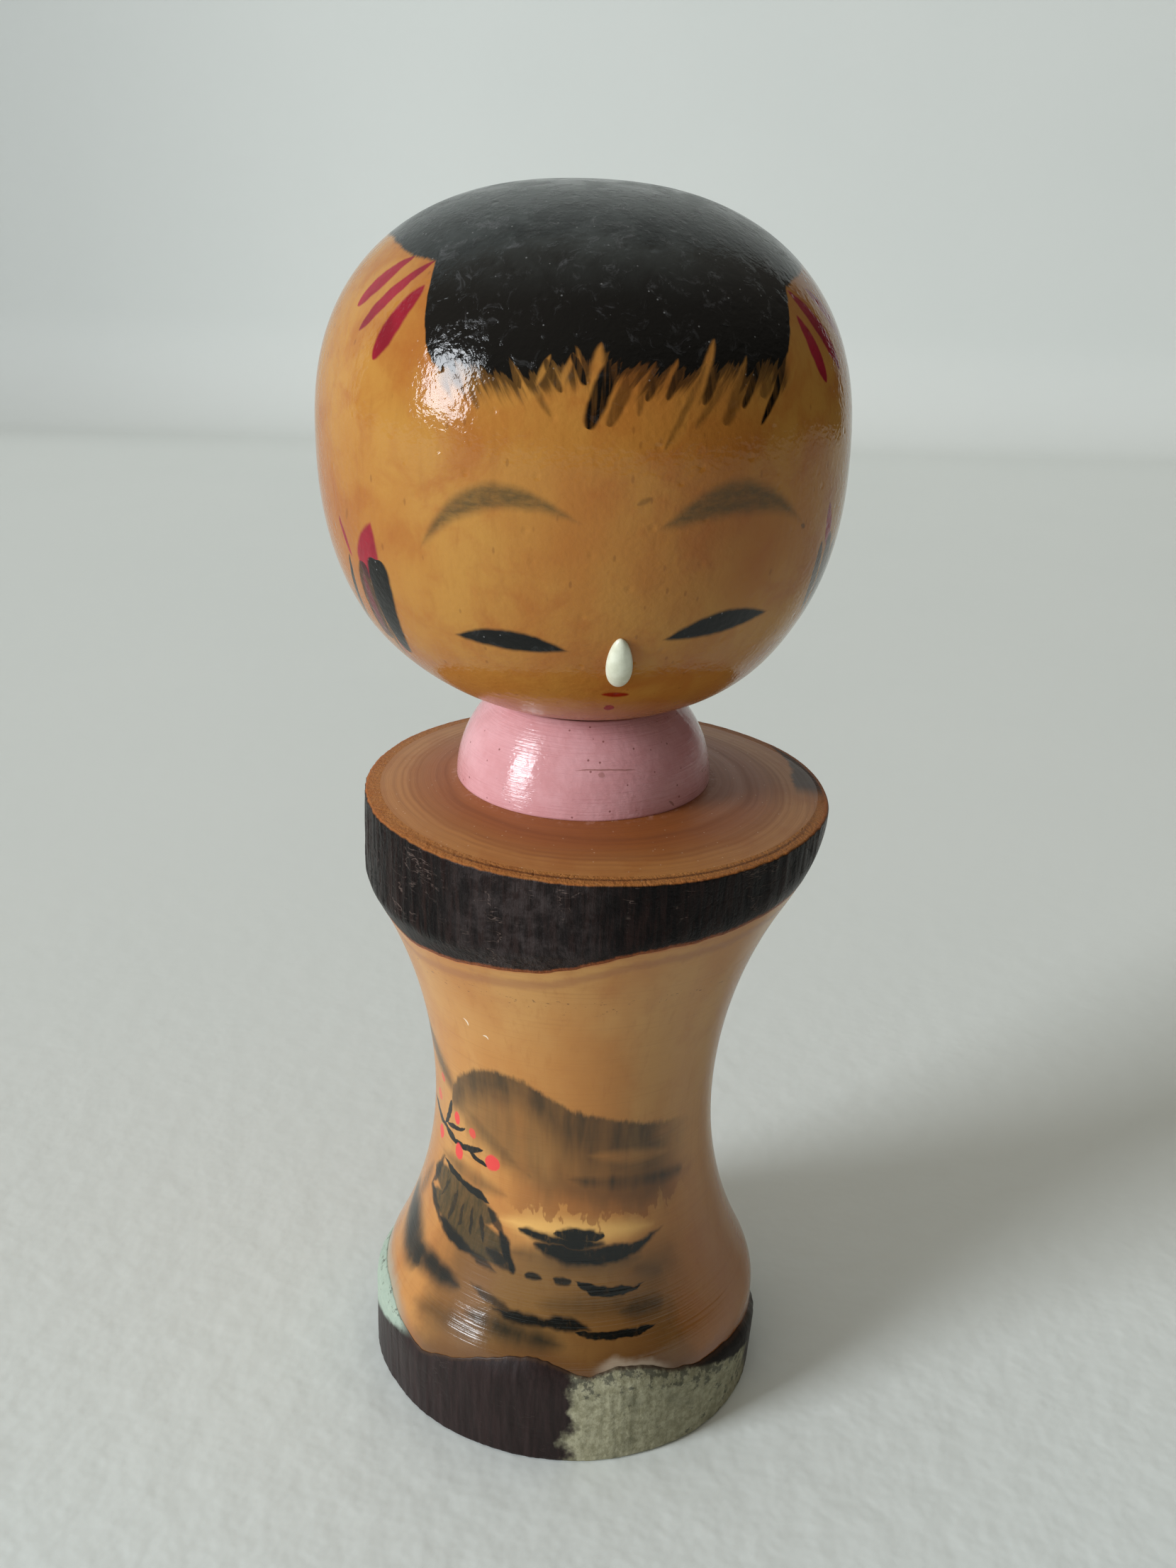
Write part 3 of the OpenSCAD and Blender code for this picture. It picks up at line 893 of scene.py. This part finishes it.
def body_material():
    material, n, place = begin("turned_branch_wood")
    x, y, z = n.split(place)
    painted = wobble(n, place, 1.2, 0.4)
    azimuth = n.azimuth(x, y)
    below, above = n.note("below_bark"), n.note("above_bark")

    broad = n.grain(place, 0.35, 9, 3, 0.55)
    cloud = n.noise(place, 3.6, 4, 0.6, 0.4)
    grain = n.grain(place, 0.06, 0.7, 4, 0.6)
    lathe_lines = n.noise(n.stretch(place, 0.02, 0.02, 1), 0.28, 2, 0.6)
    wood = n.mix(n.step(broad, 0.35, 0.65), (190, 138, 77), (179, 120, 60))
    wood = n.mix(n.step(grain, 0.5, 0.8, 0, 0.3), wood, (156, 97, 47))
    wood = n.mix(n.step(cloud, 0.5, 0.75, 0, 0.3), wood, (166, 102, 52))
    wood = n.mix(n.step(lathe_lines, 0.5, 0.75, 0, 0.14), wood, (132, 81, 42))

    # turning band and flecks below the shoulder's bark
    rim_noise = n.sway(cloud, 0.9)
    from_bark = n.plus(below, rim_noise)
    band = n.within(from_bark, 0.9, 1.6, 1.9, 2.7)
    wood = n.mix(n.times(band, 0.42), wood, (140, 84, 56))
    feather = n.step(from_bark, 0, 0.35, 0.5, 0)
    wood = n.mix(feather, wood, (178, 96, 52))
    fleck = n.times(n.step(n.grain(place, 2.2, 0.55, 2), 0.66, 0.72), n.within(z, 50.6, 51.6, 52.4, 53.4))
    wood = n.mix(n.times(fleck, 0.7), wood, (70, 44, 30))
    # the wood darker and redder towards the right side and towards the foot
    darker_right_low = n.times(n.step(azimuth, 10, 60, 0.15, 0.45), n.step(z, 12, 32, 1, 0))
    wood = n.mix(darker_right_low, wood, (134, 74, 36))
    scorch = n.step(n.plus(above, rim_noise), 0, 2.4, 0.65, 0)
    wood = n.mix(scorch, wood, (124, 70, 38))

    top, rings, cuts = cut_wood(n, place)
    is_top = n.step(z, 65.6, 65.9)

    # painting
    edge = n.profile(azimuth, MOUNTAIN_EDGE, 10, 50)
    foot = n.profile(azimuth, MOUNTAIN_FOOT, 10, 50)
    bristle = n.grain(place, 0.1, 0.45, 3, 0.7)
    streak = n.grain(place, 0.12, 1.8, 3, 0.6)
    height = n.split(painted)[2]
    depth = n.plus(n.minus(edge, height), n.sway(bristle, 1.4))
    fade = n.math("DIVIDE", depth, n.step(azimuth, -16, 10, 4.6, 8))
    mountain = n.times(n.step(depth, 0, 0.8), n.step(fade, 0.35, 1.25, 0.96, 0.6))
    lower = n.plus(n.minus(height, foot), n.sway(streak, 5))
    mountain = n.times(mountain, n.step(lower, -1.6, 1.6))
    mountain = n.times(mountain, n.step(streak, 0.3, 0.7, 1, 0.75))
    end = n.plus(azimuth, n.sway(cloud, 16))
    mountain = n.times(mountain, n.step(end, 28, 56, 1, 0))
    pale = stroke(n, painted, body_point, 5, 33.4, 42, 31.8, 1.3, 0.45, 0.9)
    mountain = n.times(mountain, n.minus(1, pale))
    # the sky's brown wash ends in tongues above the glow
    tongues = n.noise(n.join(azimuth, n.times(z, 1.6), 0), 6.5, 3, 0.65)
    above_glow = n.minus(height, n.plus(n.times(tongues, 9.5), 21.4))
    sunset = n.times(n.step(above_glow, -0.15, 0.35), n.step(height, 28.5, 32, 1, 0))
    sunset = n.times(sunset, n.times(n.step(azimuth, -30, -16), n.step(end, 40, 58, 1, 0)))
    # thin wash over the water and the shore
    damp = n.within(end, -60, -42, 28, 50)
    damp = n.times(damp, n.step(height, 20, 24.5, 0.66, 0))
    soft_strokes = n.times(strokes(n, painted, body_point, WASHES), n.step(streak, 0.25, 0.75, 1.15, 0.7))
    wash = n.larger(mountain, soft_strokes)
    thatch = n.times(strokes(n, painted, body_point, THATCH), n.step(bristle, 0.3, 0.7, 0.88, 1.04))
    inked = wobble(n, place, 1.5, 1)
    ink = n.times(strokes(n, inked, body_point, BODY_INK), n.step(bristle, 0.2, 0.5, 0.86, 1))
    blossom = strokes(n, painted, body_point, BLOSSOM)
    glow = strokes(n, painted, body_point, GLOW)

    colour = n.mix(glow, n.mix(damp, wood, (66, 50, 26)), (222, 172, 98))
    colour = n.mix(n.times(sunset, 0.6), colour, (132, 76, 36))
    colour = n.mix(n.times(wash, 0.97), colour, (46, 38, 25))
    colour = n.mix(thatch, colour, (62, 50, 25))
    colour = n.mix(ink, colour, (15, 15, 12))
    colour = n.mix(n.times(blossom, 0.95), colour, (216, 62, 62))
    colour = n.mix(strokes(n, place, body_point, SCRATCHES), colour, (225, 205, 180))
    haze = n.within(azimuth, 6, 13, 26, 34)
    haze = n.times(haze, n.step(n.plus(above, n.times(rim_noise, 2)), 0.1, 1.1, 0.7, 0))
    colour = n.mix(haze, colour, (176, 158, 136))
    side = n.within(azimuth, -128, -112, -66, -54)
    side = n.times(side, n.step(n.plus(above, n.times(rim_noise, 2.4)), 0.2, 2.6, 0.6, 0))
    colour = n.mix(side, colour, (162, 164, 146))
    colour = n.mix(is_top, colour, top)
    rough = n.blend(is_top, n.step(z, 12, 34, 0.15, 0.25), n.step(rings, 0.3, 0.7, 0.42, 0.55))
    relief = n.plus(n.times(lathe_lines, 0.028), n.times(cloud, 0.05))
    relief = n.plus(relief, n.times(n.times(cuts, is_top), 0.03))
    finish(n, colour, rough, relief, IOR=1.45)
    return material


# -------- bark, collar, nose and peg


def bark_material(name, lichen):
    """Varnished bark. With lichen, the foot's: redder, with a grey-green crust."""
    material, n, place = begin(name)
    x, y, z = n.split(place)
    azimuth = n.azimuth(x, y)
    gap = n.note("gap")
    ridge = n.grain(place, 0.1, 0.6, 4, 0.65)
    cloud = n.grain(place, 0.5, 3.5, 4, 0.6)
    fine = n.noise(place, 0.3, 3, 0.6)
    if lichen:
        colour = n.mix(n.step(ridge, 0.35, 0.7), (28, 17, 16), (42, 28, 27))
    else:
        colour = n.mix(n.step(ridge, 0.4, 0.7), (8, 4, 4), (34, 20, 17))
        # painted sheen: greyer patches on the front of the bark, where the varnish catches the light
        front = n.within(azimuth, -42, -20, -6, 14)
        grey = n.times(front, n.step(n.noise(place, 1.6, 4, 0.7), 0.4, 0.65, 0.2, 0.8))
        colour = n.mix(grey, colour, (58, 50, 49))
    colour = n.mix(n.step(cloud, 0.5, 0.75, 0, 0.4), colour, (30, 19, 16))
    crack_x = n.noise(n.stretch(place, 0.45, 0.45, 1.6), 2.2, 3, 0.6)
    crack = n.step(n.math("ABSOLUTE", n.minus(crack_x, 0.5)), 0.004, 0.014, 1, 0)
    crack = n.times(crack, n.step(cloud, 0.52, 0.62, 0, 0.2 if lichen else 1))
    colour = n.mix(n.times(crack, 0.4), colour, (120, 102, 94))
    ragged_gap = n.plus(gap, n.sway(fine, 0.5))
    if lichen:
        patch = n.noise(place, 4, 4, 0.6)

        def uneven_step(amount, *levels):
            return n.step(n.plus(azimuth, n.sway(patch, amount)), *levels)

        front = n.times(uneven_step(24, -2, 3), uneven_step(30, 62, 74, 1, 0))
        ledge = n.times(uneven_step(40, -128, -116), uneven_step(20, -60, -52, 1, 0))
        pale_low = n.step(azimuth, -90, -55, 5, 8.6)
        ledge = n.times(ledge, n.step(n.minus(n.plus(z, n.sway(patch, 3)), pale_low), -0.5, 0.6))
        crust = n.larger(front, ledge)
        mottle = n.noise(place, 0.8, 4, 0.7)
        grown = n.mix(n.step(mottle, 0.35, 0.65), (134, 130, 104), (164, 160, 134))
        grown = n.mix(n.step(patch, 0.5, 0.7, 0, 0.5), grown, (96, 96, 78))
        # on the left ledge the crust is paler and more mint: partly its own colour, partly a painted
        # reflection of the window
        grown = n.mix(n.step(azimuth, -60, -40, 0.7, 0), grown, (158, 178, 166))
        stain = n.plus(n.noise(place, 1.1, 4, 0.7), n.step(gap, 0, 4, 0.14, -0.06))
        stain = n.plus(stain, n.step(azimuth, 20, 66, 0, 0.12))
        # fewer dark specks on the left ledge, so that the painted reflection there stays clear
        stain = n.minus(stain, n.step(azimuth, -60, -40, 0.1, 0))
        grown = n.mix(n.step(stain, 0.58, 0.7, 0, 0.75), grown, (62, 62, 54))
        colour = n.mix(crust, colour, grown)
        bare_rim = n.plus(n.minus(n.step(azimuth, 28, 68, -0.3, 3), gap), n.sway(patch, 2))
        colour = n.mix(n.times(n.step(bare_rim, 0, 0.5), n.step(azimuth, 24, 34)), colour, (26, 19, 16))
        edge = n.times(n.step(ragged_gap, 0.1, 0.5, 0.8, 0), n.step(azimuth, -62, -50))
        colour = n.mix(edge, colour, (60, 40, 26))
        rough = n.step(crust, 0, 1, 0.42, 0.75)
        relief = n.plus(n.times(ridge, 0.035), n.times(n.times(mottle, crust), 0.09))
    else:
        cut = n.note("cut")
        inner = cut_wood(n, place)[0]
        axis_r = n.length(x, y)
        drift = n.math("MULTIPLY_ADD", n.math("DIVIDE", x, axis_r), BRANCH_DRIFT, BRANCH_SHOULDER_R)
        inset = n.plus(n.minus(drift, axis_r), n.sway(fine, 0.3))
        line = n.within(inset, 0.75, 0.9, 1, 1.2)
        seen = n.times(n.step(azimuth, -60, -20, 0, 0.7), n.step(azimuth, 40, 90, 1, 0.2))
        inner = n.mix(n.times(line, seen), inner, (78, 42, 24))
        inner = n.mix(n.step(inset, 0.05, 0.3, 0.6, 0), inner, (176, 104, 54))
        colour = n.mix(n.step(ragged_gap, 0.15, 0.55, 0.85, 0), colour, (140, 76, 42))
        worn = n.within(azimuth, 64, 86, 100, 130)
        worn = n.times(worn, n.step(n.grain(place, 0.25, 2, 4, 0.6), 0.5, 0.64))
        colour = n.mix(n.times(worn, 0.35), colour, (110, 66, 40))
        colour = n.mix(cut, colour, inner)
        rough = n.blend(cut, n.step(cloud, 0.3, 0.7, 0.24, 0.4), 0.5)
        relief = n.plus(n.times(ridge, 0.2), n.times(fine, 0.1))
    relief = n.minus(relief, n.times(crack, 0.05))
    finish(n, colour, rough, relief, **{"IOR": 1.32, "Specular IOR Level": 0.5 if lichen else 0.2})
    return material


COLLAR_MARKS = [
    (-5, 72.7, 25, 72.5, 0.09, 0.7),
    (6, 72.3, 9, 72.1, 0.3, 0.5),
    (40, 69, 43, 68.4, 0.14, 0.7),
]


def collar_material():
    material, n, place = begin("pink_collar_paint")
    lines = n.noise(n.stretch(place, 0.03, 0.03, 1), 0.22, 3, 0.7)
    cloud = n.noise(place, 3, 3, 0.6)
    colour = n.mix(n.step(cloud, 0.3, 0.7), (212, 156, 160), (202, 142, 145))
    colour = n.mix(n.step(lines, 0.55, 0.75, 0, 0.25), colour, (178, 110, 120))
    speck = n.step(n.cells(place, 1.2), 0.06, 0.11, 0.75, 0)
    colour = n.mix(speck, colour, (120, 66, 64))
    colour = n.mix(strokes(n, wobble(n, place, 1, 0.2), collar_point, COLLAR_MARKS), colour, (140, 92, 84))
    rough = n.step(lines, 0.3, 0.8, 0.05, 0.1)
    relief = n.plus(n.times(lines, 0.065), n.times(n.noise(place, 0.6, 3), 0.05))
    finish(n, colour, rough, relief, IOR=1.5)
    return material


def nose_material():
    material, n, place = begin("white_nose_paint")
    patch = n.noise(place, 1, 3)
    colour = n.mix(n.step(patch, 0.3, 0.7), (224, 224, 203), (208, 208, 184))
    finish(n, colour, n.step(patch, 0.3, 0.7, 0.3, 0.4), n.times(n.noise(place, 0.5, 2), 0.02))
    return material


def peg_material():
    material, n, place = begin("peg_grain")
    grain = n.grain(place, 0.08, 0.5, 4, 0.6)
    colour = n.mix(n.step(grain, 0.3, 0.7), (216, 178, 124), (178, 134, 84))
    finish(n, colour, n.step(grain, 0.3, 0.7, 0.5, 0.65), n.times(grain, 0.05))
    return material


# -------- pieces

for make, node, body, slot, material in (
    (make_body, "body", "doll_body", "branch_wood", body_material()),
    (make_shoulder_bark, "shoulder_bark", "doll_body", "shoulder_bark",
     bark_material("shoulder_bark_skin", False)),
    (make_foot_bark, "foot_bark", "doll_body", "foot_bark", bark_material("foot_bark_skin", True)),
    (make_collar, "neck_collar", "doll_body", "collar_paint", collar_material()),
    (make_head, "head", "doll_head", "head_lacquer", head_material()),
    (make_nose, "nose", "doll_head", "nose_paint", nose_material()),
):
    piece = make()
    piece.data.materials.append(material)
    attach(piece, body)
    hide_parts(node)

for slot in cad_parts["neck_peg"].material_slots:
    slot.material = peg_material()

# -------- floor, light and camera

WALL_Y = 535.0
WALL_CURVE = 40.0
WALL_CURVE_STEPS = 16
WALL_END = 460.0
ROOM = 1500.0
SKY_COLOUR = (1, 0.93, 0.81, 1)


def make_floor():
    """Pale floor that curves up into a wall behind the doll, with painted shade that darkens the wall, most
    towards the left.
    """
    outline = [(-ROOM, 0), (WALL_Y - WALL_CURVE, 0)]
    for i in range(1, WALL_CURVE_STEPS + 1):
        t = i / WALL_CURVE_STEPS * math.pi / 2
        outline.append((WALL_Y - WALL_CURVE + WALL_CURVE * math.sin(t), WALL_CURVE * (1 - math.cos(t))))
    outline.append((WALL_Y, ROOM))
    points = [(x * MM, y * MM, z * MM) for y, z in outline for x in (-ROOM, ROOM if z < 1 else WALL_END)]
    faces = [(2 * i, 2 * i + 1, 2 * i + 3, 2 * i + 2) for i in range(len(outline) - 1)]
    mesh = bpy.data.meshes.new("floor")
    mesh.from_pydata(points, [], faces)
    mesh.polygons.foreach_set("use_smooth", [True] * len(faces))
    floor = put("floor", mesh)
    material, n, place = begin("pale_floor")
    x, y, _ = n.split(place)
    plaster = n.mix(n.noise(place, 60, 2), (221, 225, 221), (225, 228, 224))
    plaster = n.mix(n.step(y, -140, 40, 1, 0), plaster, (236, 248, 248))
    # painted shade: the wall darker, most on its left, and the floor a little darker beneath it
    painted_wall_shade = n.times(n.step(y, 460, 530, 0.2, 1), n.step(x, -270, -40, 0.34, 0.08))
    finish(n, n.mix(painted_wall_shade, plaster, (0, 0, 0)), n.step(n.noise(place, 3, 2), 0, 1, 0.7, 0.85),
           n.times(n.noise(place, 4, 2), n.step(y, -100, 160, 0.25, 0.03)))
    mesh.materials.append(material)


make_floor()

# A dim room, brighter on the window's side and overhead
world = bpy.data.worlds.new("room")
bpy.context.scene.world = world
world.use_nodes = True
sky = Nodes(world.node_tree)
sideways, _, upwards = sky.split(sky.add("TexCoord"))
background = world.node_tree.nodes["Background"]
glow = sky.plus(sky.step(sideways, -1, 0.6, 0.26, 0.02), sky.step(upwards, 0, 1, 0, 0.32))
world.node_tree.links.new(glow, background.inputs["Strength"])
background.inputs["Color"].default_value = SKY_COLOUR

# The window: a soft rectangular light to the left, lengths in metres
WINDOW_AZIMUTH = math.radians(-61)
WINDOW_ELEVATION = math.radians(17.5)
WINDOW_DISTANCE = 4
WINDOW_FACES = Vector((0, 0, 0.07))

light = bpy.data.lights.new("window", "AREA")
light.shape = "RECTANGLE"
light.size, light.size_y = 1.3, 1.75
light.energy = 172
light.color = (0.94, 0.99, 1.04)
level = math.cos(WINDOW_ELEVATION)
towards = (math.sin(WINDOW_AZIMUTH) * level, -math.cos(WINDOW_AZIMUTH) * level, math.sin(WINDOW_ELEVATION))
window = put("window", light)
window.location = WINDOW_FACES + Vector(towards) * WINDOW_DISTANCE
window.rotation_euler = Vector(towards).to_track_quat("Z", "Y").to_euler()

CAMERA_AT = Vector((-2.07, -153.7, 130.5)) * MM
CAMERA_PITCH = math.radians(22.58)
CAMERA_YAW = math.radians(0.956)
CAMERA_ROLL = math.radians(1.815)
FOCAL_PX = 2400
PHOTO_H = 2212

camera = bpy.data.cameras.new("camera")
camera.sensor_fit = "VERTICAL"
camera.sensor_height = 36
camera.lens = FOCAL_PX / PHOTO_H * camera.sensor_height
camera.clip_start = 0.01
view = put("camera", camera)
level = math.cos(CAMERA_PITCH)
ahead = Vector((math.sin(CAMERA_YAW) * level, math.cos(CAMERA_YAW) * level, -math.sin(CAMERA_PITCH)))
right = ahead.cross(Vector((0, 0, 1))).normalized()
up = right.cross(ahead)
rolled_right = math.cos(CAMERA_ROLL) * right + math.sin(CAMERA_ROLL) * up
rolled_up = math.cos(CAMERA_ROLL) * up - math.sin(CAMERA_ROLL) * right
axes = Matrix((rolled_right, rolled_up, -ahead)).transposed().to_4x4()
view.matrix_world = Matrix.Translation(CAMERA_AT) @ axes
bpy.context.scene.camera = view
bpy.context.scene.view_settings.view_transform = "Standard"
